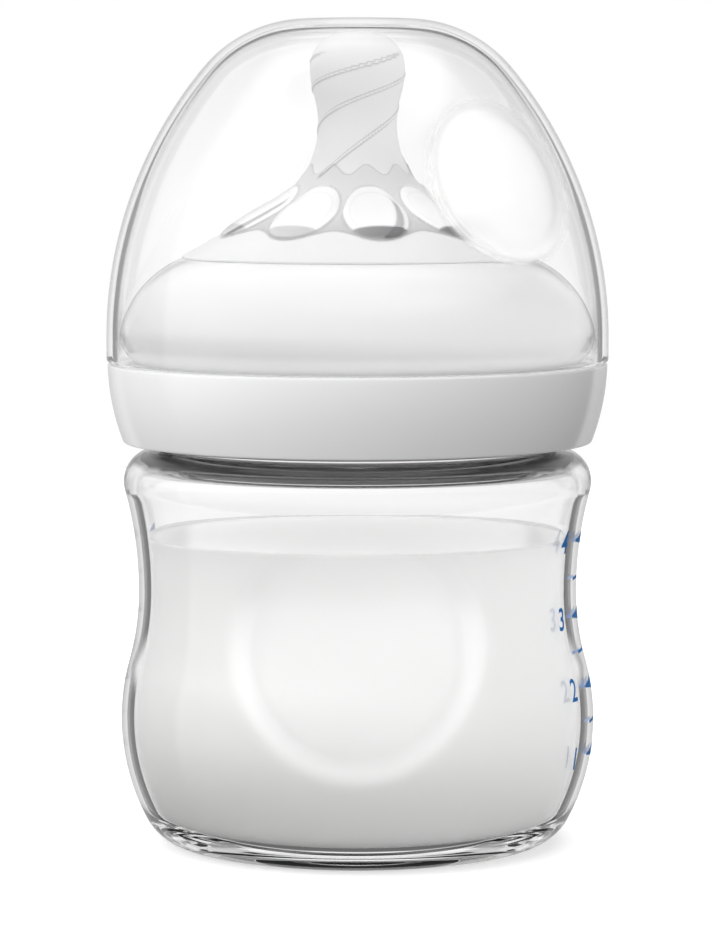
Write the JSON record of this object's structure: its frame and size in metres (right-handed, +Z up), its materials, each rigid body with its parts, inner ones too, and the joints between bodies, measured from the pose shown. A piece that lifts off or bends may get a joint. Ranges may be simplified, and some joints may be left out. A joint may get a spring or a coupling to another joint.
{
  "type": "baby bottle",
  "caption": "Round wide-neck feeding bottle with a waist, a screw ring that holds a soft petal nipple, and a clear domed cap over it.",
  "frame": {"origin": "centre of the bottle's foot, on the surface that it stands on", "axes": "+Z up the bottle's axis; -Y is the front, with the round recess; +X is to the right of someone facing the front"},
  "size_m": [0.0702, 0.07, 0.1154],
  "materials": {
    "clear_glass": "clear gloss, printed measuring scale",
    "milk": "opaque white liquid",
    "silicone": "translucent satin",
    "white_plastic": "opaque satin gloss",
    "clear_plastic": "clear gloss"
  },
  "bodies": {
    "bottle": {"bottle": "clear_glass", "milk": "milk"},
    "nipple": {"nipple": "silicone"},
    "ring": {"screw_ring": "white_plastic"},
    "cap": {"dome_cap": "clear_plastic"}
  },
  "joints": [
    {"name": "nipple_rise", "type": "slide", "parent": "bottle", "child": "nipple", "axis": [0, 0, 1], "range_m": [0, 0.00625]},
    {"name": "ring_unscrew", "type": "hinge", "parent": "nipple", "child": "ring", "pos_m": [0, 0, 0.07], "axis": [0, 0, 1], "range_deg": [0, 450]},
    {"name": "cap_lift", "type": "slide", "parent": "ring", "child": "cap", "axis": [0, 0, 1], "range_m": [0, 0.05]}
  ],
  "couplings": [
    {"joint": "nipple_rise", "follows": "ring_unscrew", "m_per_rad": 0.00079577}
  ]
}
